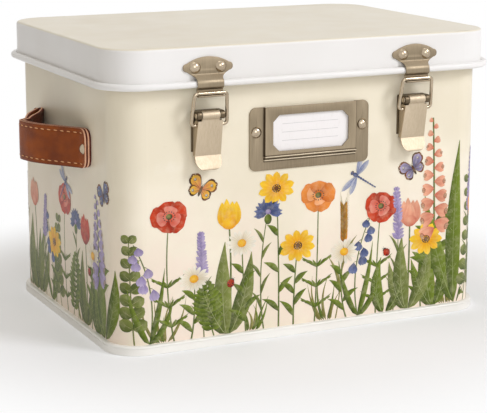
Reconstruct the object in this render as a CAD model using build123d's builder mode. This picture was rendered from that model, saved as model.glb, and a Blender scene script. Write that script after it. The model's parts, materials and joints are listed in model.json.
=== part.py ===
"""Garden seed organizer box: a sheet-steel tin with a hinged lid, two draw latches,
a label holder, two leather strap handles and two rows of divider cards.

Millimetres. +Z is up, +X runs along the front to the right, -Y faces the front.
The origin is on the floor under the middle of the box.
"""

import os
from math import cos, radians, sin

from build123d import *

os.makedirs("parts", exist_ok=True)

# ---------------------------------------------------------------- driving sizes
# box body
body_width = 269.4
body_depth = 193.2
body_corner = 19.8
body_height = 195.4
sheet = 0.6

# base
rim_height = 6.2
rim_proud = 3.3
rim_seam_height = 4.6
rim_seam_depth = 0.35
floor_height = 1.8
rim_round = 1.2

# lid
skirt_gap = 4.7
skirt_height = 23.5
lid_edge_radius = 2.0
lid_rest_gap = 0.5
bead_diameter = 4.4
curl_diameter = 2.2
bead_bite = 0.05

# pressed hardware
plate = 1.0
play = 0.3
pin_fit = 0.05
pin_radius = 1.75
pin_stand = 0.5

# rivets
rivet_head = 7.4
rivet_dome = 2.2
rivet_shank = 3.0
rivet_tail = 5.0
rivet_tail_height = 0.5
rivet_fit = 0.05

# draw latches
latch_spacing = 150.6
keeper_width = 34.2
keeper_neck = 18.0
keeper_end_radius = 2.6
keeper_neck_radius = 2.5
keeper_bend = 0.8
keeper_upper_bend = 1.6
keeper_lower_bend = 3.0
keeper_hook_start = 1.5
keeper_top_above_bead = 17.0
keeper_middle_above_bead = 10.3
keeper_neck_above_bead = 4.2
keeper_shoulder_above_bead = 5.4
keeper_rivet_spacing = 17.6
hook_below_bead = 5.6
hook_curl = 110
bail_wire = 2.3
bail_top_width = 22.0
bail_foot_width = 24.8
bail_bend = 2.3
latch_pivot_below_hook = 14.1
latch_pivot_out = 8.8
bail_pivot_below = 6.3
bail_pivot_in = 1.4
latch_base_width = 18.8
latch_knuckle = 12.0
latch_base_height = 26.0
latch_base_rivet_drop = 10.4
latch_base_rivet_pitch = 8.6
latch_base_bend = 1.5
latch_base_curl = 290.0
lever_width = 17.0
lever_length = 26.3
lever_low_in = 3.8
lever_tip_width = 18.0
lever_tip_length = 8.4
lever_tip_out = 3.6
lever_tip_corner = 5.0
lever_flange = 0.9
lever_crease_angle = 40.0
lever_crease_drop = 1.2
lever_knuckle_gap = 0.7
lever_crease_bend = 1.2
lever_tip_bend = 1.2
lever_wall_gap = 0.5

# hinges
hinge_spacing = 150.0
hinge_width = 30.0
hinge_knuckle = 10.6
hinge_axis_below_bead = 7.0
hinge_leaf_drop = 26.0
hinge_leaf_rise = 18.0
hinge_shelf_drop = 4.1
hinge_web_clear = 4.0
hinge_rivet_spacing = 18.0
hinge_lower_rivet_drop = 13.0
hinge_upper_rivet_rise = 11.5
hinge_corner = 3.0
hinge_bend = 1.2
knuckle_curl = 250.0

# label holder
holder_width = 87.6
holder_height = 41.4
holder_corner = 4.5
holder_sheet = 0.8
holder_centre_height = 133.4
pocket_width = 67.4
pocket_depth = 2.8
pocket_foot = 8.2
window_width = 55.6
window_height = 23.8
window_corner = 4.5
window_foot = 4.0
holder_rivet_spacing = 78.0
holder_rivet_above_centre = 4.6
pocket_edge_radius = 0.56
pocket_rib_radius = 0.7
pocket_rib_proud = 0.4
pocket_rib_pitch = 2.3
card_thickness = 0.5
card_play = 0.4
card_short = 1.0

# leather handles
strap_width = 26.0
strap_thickness = 4.4
strap_centre_height = 127.0
strap_end = 52.0
strap_end_corner = 4.0
strap_rivet_inset = 4.0
strap_flat = 41.5
strap_flat_bend = 8.0
strap_shoulder_back = 13.0
strap_shoulder_out = 28.4
strap_shoulder_bend = 24.0
strap_nose_back = 4.0
strap_nose_out = 30.2
strap_nose_bend = 3.0
strap_tuck_back = 9.0
strap_tuck_out = 20.4
strap_tuck_bend = 8.0
strap_rear_flat = 41.5
strap_rear_bend = 10.0

# inside fittings
divider_height = 118.0
divider_flange = 9.0
divider_sheet = 0.8
index_card_thickness = 0.9
index_card_height = 128.0
index_card_tab = 11.0
index_card_tab_width = 26.0
index_card_corner = 3.0
index_cards_per_row = 6
index_tab_steps = 3
index_card_side_gap = 2.6

# ---------------------------------------------------------------- derived places
floor_top = floor_height + sheet
front_wall = -body_depth / 2
skirt_out = skirt_gap + sheet
lid_width = body_width + 2 * skirt_out
lid_depth = body_depth + 2 * skirt_out
lid_corner = body_corner + skirt_out
lid_inside_top = body_height + lid_rest_gap
lid_top = lid_inside_top + sheet
bead_radius = bead_diameter / 2
bead_height = lid_top - skirt_height
bead_out = skirt_out + bead_radius - bead_bite
curl_radius = curl_diameter / 2
compartment_depth = (body_depth - 2 * sheet - divider_sheet) / 2
index_card_pitch = (body_width - 2 * sheet) / (index_cards_per_row + 1)

knuckle_radius = pin_radius + pin_fit + plate
knuckle_line = knuckle_radius - plate / 2

over_bead_out = bead_out + bead_radius + play + plate / 2
hook_radius = bail_wire / 2 + play + plate / 2
hook_out = over_bead_out
hook_height = bead_height - hook_below_bead
latch_pivot_height = hook_height - latch_pivot_below_hook
bail_pivot_height = latch_pivot_height - bail_pivot_below
bail_pivot_out = latch_pivot_out - bail_pivot_in
lever_knuckle_foot = latch_pivot_height - knuckle_radius - lever_knuckle_gap
hinge_height = bead_height - hinge_axis_below_bead
hinge_out = over_bead_out - knuckle_line
holder_top = holder_centre_height + holder_height / 2
holder_foot = holder_centre_height - holder_height / 2
pocket_foot_height = holder_foot + pocket_foot
pocket_height = holder_top - pocket_foot_height
pocket_inside = pocket_width - 2 * holder_sheet

# a reach longer than any fitting stands out from its wall
reach = 2 * strap_nose_out

sides = {"left": -1, "right": 1}


# ---------------------------------------------------------------- planes
def front_section(x):
    """Upright plane across the front wall: outwards from the wall, then up."""
    return Plane(origin=(x, front_wall, 0), x_dir=(0, -1, 0), z_dir=(-1, 0, 0))


def rear_section(x):
    """Upright plane across the rear wall: outwards from the wall, then up."""
    return Plane(origin=(x, -front_wall, 0), x_dir=(0, 1, 0), z_dir=(1, 0, 0))


def front_face(x, out, height):
    """Plane that faces forwards, set out from the front wall."""
    return Plane(origin=(x, front_wall - out, height), x_dir=(1, 0, 0), z_dir=(0, -1, 0))


def rear_face(x, out, height):
    """Plane that faces backwards, set out from the rear wall."""
    return Plane(origin=(x, out - front_wall, height), x_dir=(-1, 0, 0), z_dir=(0, 1, 0))


def side_face(side, out, y, height):
    """Plane that faces away from the left (-1) or right (1) wall."""
    x = side * (body_width / 2 + out)
    return Plane(origin=(x, y, height), x_dir=(0, side, 0), z_dir=(side, 0, 0))


# ---------------------------------------------------------------- repeated features
def rivet(grip):
    """Domed rivet standing on z = 0 whose shank passes through the grip to a flat tail."""
    with BuildPart() as one:
        with BuildSketch(Plane.XZ):
            with BuildLine():
                Polyline(
                    (0, rivet_dome),
                    (0, -grip - rivet_tail_height),
                    (rivet_tail / 2, -grip - rivet_tail_height),
                    (rivet_tail / 2, -grip),
                    (rivet_shank / 2, -grip),
                    (rivet_shank / 2, 0),
                    (rivet_head / 2, 0),
                )
                TangentArc((0, rivet_dome), (rivet_head / 2, 0), tangent=(1, 0))
            make_face()
        revolve(axis=Axis.Z)
    return one.part


def rolled_edge(width, depth, corner, height, radius):
    """Round wire bead whose centre line is a rounded rectangle at the given height."""
    x, y = width / 2, depth / 2
    with BuildPart() as bead:
        with BuildLine(Plane.XY.offset(height)) as run:
            FilletPolyline((-x, -y), (x, -y), (x, y), (-x, y), radius=corner, close=True)
        with BuildSketch(Plane(origin=run.line @ 0, z_dir=run.line % 0)):
            Circle(radius)
        sweep(path=run.line)
    return bead.part


def rivet_holes(places, grip):
    """Clearance holes for rivet shanks, through all that each rivet grips."""
    with Locations(*places):
        Cylinder(rivet_shank / 2 + rivet_fit, 2 * grip + play, mode=Mode.SUBTRACT)


# what each rivet passes through
sheet_grip = plate + sheet
holder_grip = holder_sheet + sheet
strap_grip = strap_thickness + sheet

# where the rivets sit: each place is a plane on the outer face of what is riveted
keeper_rivet_places = [
    front_face(side * latch_spacing / 2 + end * keeper_rivet_spacing / 2,
               skirt_out + plate, bead_height + keeper_middle_above_bead)
    for side in sides.values()
    for end in (-1, 1)
]
latch_rivet_places = [
    front_face(side * latch_spacing / 2, plate,
               latch_pivot_height - latch_base_rivet_drop - row * latch_base_rivet_pitch)
    for side in sides.values()
    for row in (0, 1)
]
holder_rivet_places = [
    front_face(side * holder_rivet_spacing / 2, holder_sheet,
               holder_centre_height + holder_rivet_above_centre)
    for side in sides.values()
]
hinge_lower_rivet_places = [
    rear_face(side * hinge_spacing / 2 + end * hinge_rivet_spacing / 2, plate,
              hinge_height - hinge_lower_rivet_drop)
    for side in sides.values()
    for end in (-1, 1)
]
hinge_upper_rivet_places = [
    rear_face(side * hinge_spacing / 2 + end * hinge_rivet_spacing / 2, skirt_out + plate,
              bead_height + hinge_upper_rivet_rise)
    for side in sides.values()
    for end in (-1, 1)
]
handle_rivet_places = {
    name: [
        side_face(side, strap_thickness, end * (strap_end - strap_rivet_inset), strap_centre_height)
        for end in (-1, 1)
    ]
    for name, side in sides.items()
}

# ---------------------------------------------------------------- body shell
# Four walls in one wrap of sheet, with the top edge curled outwards.
top_curl = rolled_edge(
    body_width + curl_diameter - sheet,
    body_depth + curl_diameter - sheet,
    body_corner + curl_radius - sheet / 2,
    body_height - curl_radius,
    curl_radius,
)
with BuildPart() as body_shell:
    with BuildSketch(Plane.XY.offset(floor_top)):
        RectangleRounded(body_width, body_depth, body_corner)
        offset(amount=-sheet, mode=Mode.SUBTRACT)
    extrude(amount=body_height - curl_radius - floor_top)
    add(top_curl)
    rivet_holes(latch_rivet_places, sheet_grip)
    rivet_holes(holder_rivet_places, holder_grip)
    rivet_holes(hinge_lower_rivet_places, sheet_grip)
    rivet_holes(handle_rivet_places["left"] + handle_rivet_places["right"], strap_grip)
body_shell.part.label = "body_shell"
export_step(body_shell.part, "parts/body_shell.step")

# ---------------------------------------------------------------- base pan
# Floor panel with a seamed rim that wraps the foot of the walls and stands on the ground.
with BuildPart() as base_pan:
    with BuildSketch():
        RectangleRounded(
            body_width + 2 * rim_proud, body_depth + 2 * rim_proud, body_corner + rim_proud
        )
    extrude(amount=rim_height)
    fillet(base_pan.faces().sort_by(Axis.Z)[-1].edges(), radius=rim_round)
    fillet(base_pan.faces().sort_by(Axis.Z)[0].edges(), radius=rim_round / 2)
    with BuildSketch(Plane.XY.offset(rim_seam_height)):
        RectangleRounded(
            body_width + 2 * rim_proud, body_depth + 2 * rim_proud, body_corner + rim_proud
        )
        offset(amount=-rim_seam_depth, mode=Mode.SUBTRACT)
    extrude(amount=rim_seam_depth, mode=Mode.SUBTRACT)
    with BuildSketch(Plane.XY.offset(floor_top)):
        RectangleRounded(body_width, body_depth, body_corner)
    extrude(amount=rim_height, mode=Mode.SUBTRACT)
    with BuildSketch():
        RectangleRounded(body_width, body_depth, body_corner)
    extrude(amount=floor_height, mode=Mode.SUBTRACT)
base_pan.part.label = "base_pan"
export_step(base_pan.part, "parts/base_pan.step")

# ---------------------------------------------------------------- lid shell
# Pressed lid: flat top, rounded edge, upright skirt and a bead rolled along its foot.
skirt_bead = rolled_edge(
    lid_width + 2 * (bead_out - skirt_out),
    lid_depth + 2 * (bead_out - skirt_out),
    lid_corner + bead_out - skirt_out,
    bead_height,
    bead_radius,
)
with BuildPart() as lid_shell:
    with BuildSketch(Plane.XY.offset(bead_height)):
        RectangleRounded(lid_width, lid_depth, lid_corner)
    extrude(amount=skirt_height)
    fillet(lid_shell.faces().sort_by(Axis.Z)[-1].edges(), radius=lid_edge_radius)
    with BuildSketch(Plane.XY.offset(bead_height)):
        RectangleRounded(lid_width - 2 * sheet, lid_depth - 2 * sheet, lid_corner - sheet)
    extrude(amount=skirt_height - sheet, mode=Mode.SUBTRACT)
    add(skirt_bead)
    rivet_holes(keeper_rivet_places, sheet_grip)
    rivet_holes(hinge_upper_rivet_places, sheet_grip)
lid_shell.part.label = "lid_shell"
export_step(lid_shell.part, "parts/lid_shell.step")

# ---------------------------------------------------------------- latches
for name, side in sides.items():
    latch_x = side * latch_spacing / 2

    # Keeper: fan-shaped plate on the skirt whose neck passes over the bead into a hook. The hook
    # turns under the bail's bar and stops short of an upright lip, so the bar can leave forwards.
    with BuildPart() as keeper:
        with BuildSketch(front_section(latch_x)):
            with BuildLine():
                FilletPolyline(
                    (skirt_out + plate / 2, bead_height + keeper_top_above_bead),
                    (skirt_out + plate / 2, bead_height + keeper_shoulder_above_bead + plate / 2),
                    (over_bead_out, bead_height + bead_radius - plate / 2),
                    (over_bead_out, bead_height - keeper_hook_start),
                    (hook_out - hook_radius, hook_height + hook_radius + plate / 2),
                    (hook_out - hook_radius, hook_height),
                    radius=[keeper_upper_bend, keeper_lower_bend, keeper_bend, keeper_bend],
                )
                CenterArc((hook_out, hook_height), hook_radius, 180, hook_curl)
                offset(amount=plate / 2, side=Side.BOTH)
            make_face()
        extrude(amount=keeper_width / 2, both=True)
        with BuildSketch(front_face(latch_x, 0, bead_height)):
            with BuildLine():
                wing = keeper_width / 2 - keeper_end_radius
                wing_top = keeper_middle_above_bead + keeper_end_radius
                wing_foot = keeper_middle_above_bead - keeper_end_radius
                TangentArc((0, keeper_top_above_bead), (wing, wing_top), tangent=(1, 0))
                RadiusArc((wing, wing_top), (wing, wing_foot), keeper_end_radius)
                FilletPolyline(
                    (wing, wing_foot),
                    (keeper_neck / 2, keeper_neck_above_bead),
                    (keeper_neck / 2, -2 * hook_below_bead),
                    radius=keeper_neck_radius,
                )
                Line((keeper_neck / 2, -2 * hook_below_bead), (0, -2 * hook_below_bead))
                mirror(about=Plane.YZ)
            make_face()
        extrude(amount=reach, mode=Mode.INTERSECT)
        rivet_holes(keeper_rivet_places, sheet_grip)
    keeper.part.label = f"keeper_{name}"
    export_step(keeper.part, f"parts/keeper_{name}.step")

    # Base: plate riveted to the wall, its top turned outwards and curled round the pivot pin.
    with BuildPart() as latch_base:
        with BuildSketch(front_section(latch_x)):
            with BuildLine():
                FilletPolyline(
                    (plate / 2, latch_pivot_height + knuckle_line - latch_base_height),
                    (plate / 2, latch_pivot_height + knuckle_line),
                    (latch_pivot_out, latch_pivot_height + knuckle_line),
                    radius=latch_base_bend,
                )
                CenterArc(
                    (latch_pivot_out, latch_pivot_height), knuckle_line, 90, -latch_base_curl
                )
                offset(amount=plate / 2, side=Side.BOTH)
            make_face()
        extrude(amount=latch_base_width / 2, both=True)
        knuckle_back = latch_pivot_out - knuckle_radius - play
        with BuildSketch(front_face(latch_x, knuckle_back, latch_pivot_height)):
            Rectangle(latch_knuckle + 2 * play, 2 * (knuckle_radius + play))
        extrude(amount=reach, mode=Mode.SUBTRACT)
        rivet_holes(latch_rivet_places, sheet_grip)
    latch_base.part.label = f"latch_base_{name}"
    export_step(latch_base.part, f"parts/latch_base_{name}.step")

    # Pivot pin through the knuckles of the base and the lever.
    with BuildPart() as latch_pin:
        with BuildSketch(front_section(latch_x)):
            with Locations((latch_pivot_out, latch_pivot_height)):
                Circle(pin_radius)
        extrude(amount=latch_base_width / 2 + pin_stand, both=True)
        chamfer(latch_pin.edges().filter_by(GeomType.CIRCLE), length=pin_stand / 2)
    latch_pin.part.label = f"latch_pin_{name}"
    export_step(latch_pin.part, f"parts/latch_pin_{name}.step")

    # Lever: knuckle round the pin, sloping front with side flanges and a flared finger tip.
    lever_foot = latch_pivot_height - lever_length
    lever_low_line = latch_pivot_out - lever_low_in
    crease_turn = radians(lever_crease_angle)
    curl_start_out = latch_pivot_out + knuckle_line * cos(crease_turn)
    curl_start_height = latch_pivot_height - knuckle_line * sin(crease_turn)
    crease_out = curl_start_out - lever_crease_drop * sin(crease_turn)
    crease_height = curl_start_height - lever_crease_drop * cos(crease_turn)
    flange_back = plate + lever_wall_gap
    tip_top = lever_foot - lever_tip_length + lever_tip_corner
    tip_foot = lever_foot - lever_tip_length - plate / 2
    with BuildPart() as lever:
        with BuildSketch(front_section(latch_x)):
            with BuildLine():
                FilletPolyline(
                    (curl_start_out, curl_start_height),
                    (crease_out, crease_height),
                    (lever_low_line, lever_foot),
                    (lever_low_line + lever_tip_out, lever_foot - lever_tip_length),
                    radius=[lever_crease_bend, lever_tip_bend],
                )
                CenterArc(
                    (latch_pivot_out, latch_pivot_height),
                    knuckle_line,
                    -lever_crease_angle,
                    lever_crease_angle + knuckle_curl,
                )
                offset(amount=plate / 2, side=Side.BOTH)
            make_face()
        extrude(amount=lever_tip_width / 2, both=True)
        with BuildSketch(front_face(latch_x, 0, 0)):
            with BuildLine():
                Polyline(
                    (0, latch_pivot_height + knuckle_radius),
                    (latch_knuckle / 2, latch_pivot_height + knuckle_radius),
                    (latch_knuckle / 2, lever_knuckle_foot),
                    (lever_width / 2, lever_knuckle_foot),
                    (lever_tip_width / 2, lever_foot),
                    (lever_tip_width / 2, tip_top),
                )
                RadiusArc(
                    (lever_tip_width / 2, tip_top),
                    (lever_tip_width / 2 - lever_tip_corner, tip_foot),
                    lever_tip_corner + plate,
                )
                Line((lever_tip_width / 2 - lever_tip_corner, tip_foot), (0, tip_foot))
                mirror(about=Plane.YZ)
            make_face()
        extrude(amount=reach, mode=Mode.INTERSECT)
        for flange_side in (-1, 1):
            flange_x = latch_x + flange_side * (lever_width - lever_flange) / 2
            with BuildSketch(front_section(flange_x)):
                with BuildLine():
                    Polyline(
                        (crease_out, lever_knuckle_foot),
                        (lever_low_line, lever_foot),
                        (flange_back, lever_foot),
                        (flange_back, bail_pivot_height - bail_wire),
                        (bail_pivot_out - bail_wire, lever_knuckle_foot),
                        close=True,
                    )
                make_face()
            extrude(amount=lever_flange / 2, both=True)
        with BuildSketch(front_section(latch_x)):
            with Locations((bail_pivot_out, bail_pivot_height)):
                Circle(bail_wire / 2 + pin_fit)
        extrude(amount=lever_width, both=True, mode=Mode.SUBTRACT)
    lever.part.label = f"lever_{name}"
    export_step(lever.part, f"parts/lever_{name}.step")

    # Bail: wire loop whose feet turn in through the lever's flanges and whose bar lies in the hook.
    bail_reach = ((hook_out - bail_pivot_out) ** 2 + (hook_height - bail_pivot_height) ** 2) ** 0.5
    bail_up = (0, bail_pivot_out - hook_out, hook_height - bail_pivot_height)
    bail_plane = Plane(
        origin=(latch_x, front_wall - bail_pivot_out, bail_pivot_height),
        x_dir=(1, 0, 0),
        z_dir=(0, -bail_up[2], bail_up[1]),
    )
    bail_end = lever_width / 2 - lever_flange - bail_wire / 2
    with BuildPart() as bail:
        with BuildLine(bail_plane) as wire:
            FilletPolyline(
                (-bail_end, 0),
                (-bail_foot_width / 2, 0),
                (-bail_top_width / 2, bail_reach),
                (bail_top_width / 2, bail_reach),
                (bail_foot_width / 2, 0),
                (bail_end, 0),
                radius=bail_bend,
            )
        with BuildSketch(Plane(origin=wire.line @ 0, z_dir=wire.line % 0)):
            Circle(bail_wire / 2)
        sweep(path=wire.line)
    bail.part.label = f"bail_{name}"
    export_step(bail.part, f"parts/bail_{name}.step")

# ---------------------------------------------------------------- hinges
for name, side in sides.items():
    hinge_x = side * hinge_spacing / 2
    shelf_height = hinge_height - hinge_shelf_drop - plate / 2
    web_foot = hinge_height + hinge_web_clear

    # Lower leaf: plate on the rear wall, a shelf under the barrel and two outer knuckles.
    with BuildPart() as hinge_leaf_lower:
        with BuildSketch(rear_section(hinge_x)):
            with BuildLine():
                FilletPolyline(
                    (plate / 2, hinge_height - hinge_leaf_drop),
                    (plate / 2, shelf_height),
                    (hinge_out + knuckle_line, shelf_height),
                    (hinge_out + knuckle_line, hinge_height),
                    radius=hinge_bend,
                )
                CenterArc((hinge_out, hinge_height), knuckle_line, 0, knuckle_curl)
                offset(amount=plate / 2, side=Side.BOTH)
            make_face()
        extrude(amount=hinge_width / 2, both=True)
        with BuildSketch(rear_face(hinge_x, hinge_out - knuckle_radius - play, hinge_height)):
            Rectangle(hinge_knuckle, 2 * hinge_shelf_drop + 2 * plate + 2 * play)
        extrude(amount=reach, mode=Mode.SUBTRACT)
        with BuildSketch(rear_face(hinge_x, 0, hinge_height - hinge_leaf_drop + hinge_corner)):
            with Locations((0, hinge_leaf_drop)):
                RectangleRounded(hinge_width, 2 * (hinge_leaf_drop + hinge_corner), hinge_corner)
        extrude(amount=reach, mode=Mode.INTERSECT)
        rivet_holes(hinge_lower_rivet_places, sheet_grip)
    hinge_leaf_lower.part.label = f"hinge_leaf_lower_{name}"
    export_step(hinge_leaf_lower.part, f"parts/hinge_leaf_lower_{name}.step")

    # Upper leaf: plate on the lid's skirt that passes over the bead to the middle knuckle.
    with BuildPart() as hinge_leaf_upper:
        with BuildSketch(rear_section(hinge_x)):
            with BuildLine():
                FilletPolyline(
                    (skirt_out + plate / 2, bead_height + hinge_leaf_rise),
                    (skirt_out + plate / 2, bead_height + keeper_shoulder_above_bead + plate / 2),
                    (over_bead_out, bead_height + bead_radius - plate / 2),
                    (over_bead_out, hinge_height),
                    radius=keeper_bend,
                )
                CenterArc((hinge_out, hinge_height), knuckle_line, 0, -knuckle_curl)
                offset(amount=plate / 2, side=Side.BOTH)
            make_face()
        extrude(amount=hinge_width / 2, both=True)
        for end in (-1, 1):
            knuckle_x = hinge_x + end * (hinge_knuckle / 2 - play + hinge_width / 2)
            with BuildSketch(rear_face(knuckle_x, 0, web_foot - hinge_leaf_rise / 2)):
                Rectangle(hinge_width, hinge_leaf_rise)
            extrude(amount=reach, mode=Mode.SUBTRACT)
        with BuildSketch(rear_face(hinge_x, 0, bead_height)):
            RectangleRounded(hinge_width, 2 * hinge_leaf_rise, hinge_corner)
        extrude(amount=reach, mode=Mode.INTERSECT)
        rivet_holes(hinge_upper_rivet_places, sheet_grip)
    hinge_leaf_upper.part.label = f"hinge_leaf_upper_{name}"
    export_step(hinge_leaf_upper.part, f"parts/hinge_leaf_upper_{name}.step")

    # Pin through the three knuckles.
    with BuildPart() as hinge_pin:
        with BuildSketch(rear_section(hinge_x)):
            with Locations((hinge_out, hinge_height)):
                Circle(pin_radius)
        extrude(amount=hinge_width / 2 + pin_stand, both=True)
        chamfer(hinge_pin.edges().filter_by(GeomType.CIRCLE), length=pin_stand / 2)
    hinge_pin.part.label = f"hinge_pin_{name}"
    export_step(hinge_pin.part, f"parts/hinge_pin_{name}.step")

# ---------------------------------------------------------------- label holder
# Pressed frame with a raised pocket that is open at the top, a window in its face
# and two ribs along its foot.
with BuildPart() as label_holder:
    with BuildSketch(front_face(0, 0, holder_centre_height)):
        RectangleRounded(holder_width, holder_height, holder_corner)
    extrude(amount=holder_sheet)
    with BuildSketch(front_face(0, 0, pocket_foot_height + pocket_height / 2)):
        Rectangle(pocket_width, pocket_height)
    extrude(amount=pocket_depth)
    pocket_rim = label_holder.faces().sort_by(Axis.Y)[0].edges().group_by(Axis.Z)
    fillet(pocket_rim[0] + pocket_rim[1], radius=pocket_edge_radius)
    with BuildSketch(front_face(0, 0, pocket_foot_height + holder_sheet + pocket_height / 2)):
        Rectangle(pocket_inside, pocket_height)
    extrude(amount=pocket_depth - holder_sheet, mode=Mode.SUBTRACT)
    rib_height = pocket_foot_height + pocket_rib_radius
    for rib_base, rib_drop in ((pocket_depth - pocket_rib_radius, 0), (holder_sheet, pocket_rib_pitch)):
        with BuildSketch(front_section(0)):
            with Locations((rib_base + pocket_rib_proud, rib_height - rib_drop)):
                Circle(pocket_rib_radius)
        extrude(amount=pocket_width / 2, both=True)
    window_height_centre = pocket_foot_height + window_foot + window_height / 2
    with BuildSketch(front_face(0, 0, window_height_centre)):
        window = Rectangle(window_width, window_height)
        chamfer(window.vertices(), length=window_corner)
    extrude(amount=reach, mode=Mode.SUBTRACT)
    rivet_holes(holder_rivet_places, holder_grip)
label_holder.part.label = "label_holder"
export_step(label_holder.part, "parts/label_holder.step")

# Card that drops into the pocket from above.
with BuildPart() as label_card:
    card_height = pocket_height - holder_sheet - card_short
    card_foot = pocket_foot_height + holder_sheet
    with BuildSketch(front_face(0, (pocket_depth - holder_sheet - card_thickness) / 2, card_foot)):
        with Locations((0, card_height / 2)):
            Rectangle(pocket_inside - 2 * card_play, card_height)
    extrude(amount=card_thickness)
label_card.part.label = "label_card"
export_step(label_card.part, "parts/label_card.step")

# ---------------------------------------------------------------- handles
# Leather strap on each end wall: flat ends, bowed outwards between them.
for name, side in sides.items():
    wall = side * body_width / 2
    outline = Plane(
        origin=(wall, 0, strap_centre_height), x_dir=(0, 1, 0), z_dir=(0, 0, -side)
    )
    middle = strap_thickness / 2
    with BuildPart() as handle_strap:
        with BuildSketch(outline):
            with BuildLine():
                FilletPolyline(
                    (-strap_end - strap_thickness, middle),
                    (-strap_flat, middle),
                    (-strap_shoulder_back, strap_shoulder_out - middle),
                    (strap_nose_back, strap_nose_out - middle),
                    (strap_tuck_back, strap_tuck_out - middle),
                    (strap_rear_flat, middle),
                    (strap_end + strap_thickness, middle),
                    radius=[
                        strap_flat_bend,
                        strap_shoulder_bend,
                        strap_nose_bend,
                        strap_tuck_bend,
                        strap_rear_bend,
                    ],
                )
                offset(amount=middle, side=Side.BOTH)
            make_face()
        extrude(amount=strap_width / 2, both=True)
        with BuildSketch(side_face(side, 0, 0, strap_centre_height)):
            RectangleRounded(2 * strap_end, strap_width, strap_end_corner)
        extrude(amount=reach, mode=Mode.INTERSECT)
        rivet_holes(handle_rivet_places[name], strap_grip)
    handle_strap.part.label = f"handle_strap_{name}"
    export_step(handle_strap.part, f"parts/handle_strap_{name}.step")

# ---------------------------------------------------------------- rivets
rivet_groups = {
    "keeper_rivets": (keeper_rivet_places, sheet_grip),
    "latch_base_rivets": (latch_rivet_places, sheet_grip),
    "label_holder_rivets": (holder_rivet_places, holder_grip),
    "hinge_rivets_lower": (hinge_lower_rivet_places, sheet_grip),
    "hinge_rivets_upper": (hinge_upper_rivet_places, sheet_grip),
    "handle_rivets_left": (handle_rivet_places["left"], strap_grip),
    "handle_rivets_right": (handle_rivet_places["right"], strap_grip),
}
for name, (places, grip) in rivet_groups.items():
    one_rivet = rivet(grip)
    with BuildPart() as rivets:
        with Locations(*places):
            add(one_rivet)
    rivets.part.label = name
    export_step(rivets.part, f"parts/{name}.step")

# ---------------------------------------------------------------- inside fittings
# Lengthwise divider: one sheet with turned ends and foot, welded between the end walls.
divider_length = body_width - 2 * sheet
with BuildPart() as divider:
    with BuildSketch(Plane.XY.offset(floor_top)):
        Rectangle(divider_length, divider_sheet)
        for end in (-1, 1):
            with Locations((end * (divider_length - divider_sheet) / 2, divider_flange / 2)):
                Rectangle(divider_sheet, divider_flange)
    extrude(amount=divider_height)
    with BuildSketch(Plane.XY.offset(floor_top)):
        with Locations((0, divider_flange / 2)):
            Rectangle(divider_length, divider_flange)
    extrude(amount=divider_sheet)
divider.part.label = "divider"
export_step(divider.part, "parts/divider.step")

# Index cards: stiff cards that stand across each row, their tabs stepping across the row.
card_width = compartment_depth - 2 * index_card_side_gap
for row, row_side in {"front": -1, "rear": 1}.items():
    row_middle = row_side * (divider_sheet + compartment_depth) / 2
    for count in range(index_cards_per_row):
        card_x = (count - (index_cards_per_row - 1) / 2) * index_card_pitch
        tab_step = count % index_tab_steps - (index_tab_steps - 1) / 2
        tab_y = tab_step * (card_width - index_card_tab_width) / (index_tab_steps - 1)
        foot = floor_top + (divider_sheet if row_side > 0 else 0)
        card_plane = Plane(origin=(card_x, row_middle, foot), x_dir=(0, 1, 0), z_dir=(1, 0, 0))
        with BuildPart() as index_card:
            with BuildSketch(card_plane) as outline:
                with Locations((0, index_card_height / 2)):
                    Rectangle(card_width, index_card_height)
                with Locations((tab_y, index_card_height + index_card_tab / 2)):
                    Rectangle(index_card_tab_width, index_card_tab)
                fillet(outline.vertices().group_by(Axis.Y)[-1], radius=index_card_corner)
            extrude(amount=index_card_thickness / 2, both=True)
        index_card.part.label = f"index_card_{row}_{count + 1}"
        export_step(index_card.part, f"parts/index_card_{row}_{count + 1}.step")
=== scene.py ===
"""Looks of the garden seed organizer box: enamel, plated steel, leather and the printed meadow."""

import json
import math
import random

import bmesh
import bpy
from mathutils import Matrix, Vector

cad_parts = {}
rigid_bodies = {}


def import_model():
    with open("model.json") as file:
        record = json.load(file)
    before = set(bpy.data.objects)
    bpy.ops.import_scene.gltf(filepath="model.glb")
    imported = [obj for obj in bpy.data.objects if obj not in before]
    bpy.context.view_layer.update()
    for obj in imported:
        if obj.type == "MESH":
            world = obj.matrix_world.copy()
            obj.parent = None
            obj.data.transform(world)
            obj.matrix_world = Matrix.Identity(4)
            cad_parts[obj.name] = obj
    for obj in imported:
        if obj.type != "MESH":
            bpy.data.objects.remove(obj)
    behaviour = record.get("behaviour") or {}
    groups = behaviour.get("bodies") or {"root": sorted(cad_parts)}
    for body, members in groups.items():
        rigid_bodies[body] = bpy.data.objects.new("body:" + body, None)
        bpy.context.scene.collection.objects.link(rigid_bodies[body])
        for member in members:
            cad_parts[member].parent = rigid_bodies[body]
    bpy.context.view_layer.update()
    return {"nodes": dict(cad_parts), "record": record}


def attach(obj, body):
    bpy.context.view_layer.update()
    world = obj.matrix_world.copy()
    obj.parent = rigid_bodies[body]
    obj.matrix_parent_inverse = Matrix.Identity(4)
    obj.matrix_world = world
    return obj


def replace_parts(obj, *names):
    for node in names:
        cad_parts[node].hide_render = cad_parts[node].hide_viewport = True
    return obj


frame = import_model()

MM = 0.001
SIDES = {"left": -1, "right": 1}


# ---------------------------------------------------------------- finishes
def linear(red, green, blue):
    """A colour given in 0 to 255 as it looks, in the numbers a shader takes."""
    shown = (c / 255 for c in (red, green, blue))
    return tuple(c / 12.92 if c < 0.04045 else ((c + 0.055) / 1.055) ** 2.4 for c in shown) + (1.0,)


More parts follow.
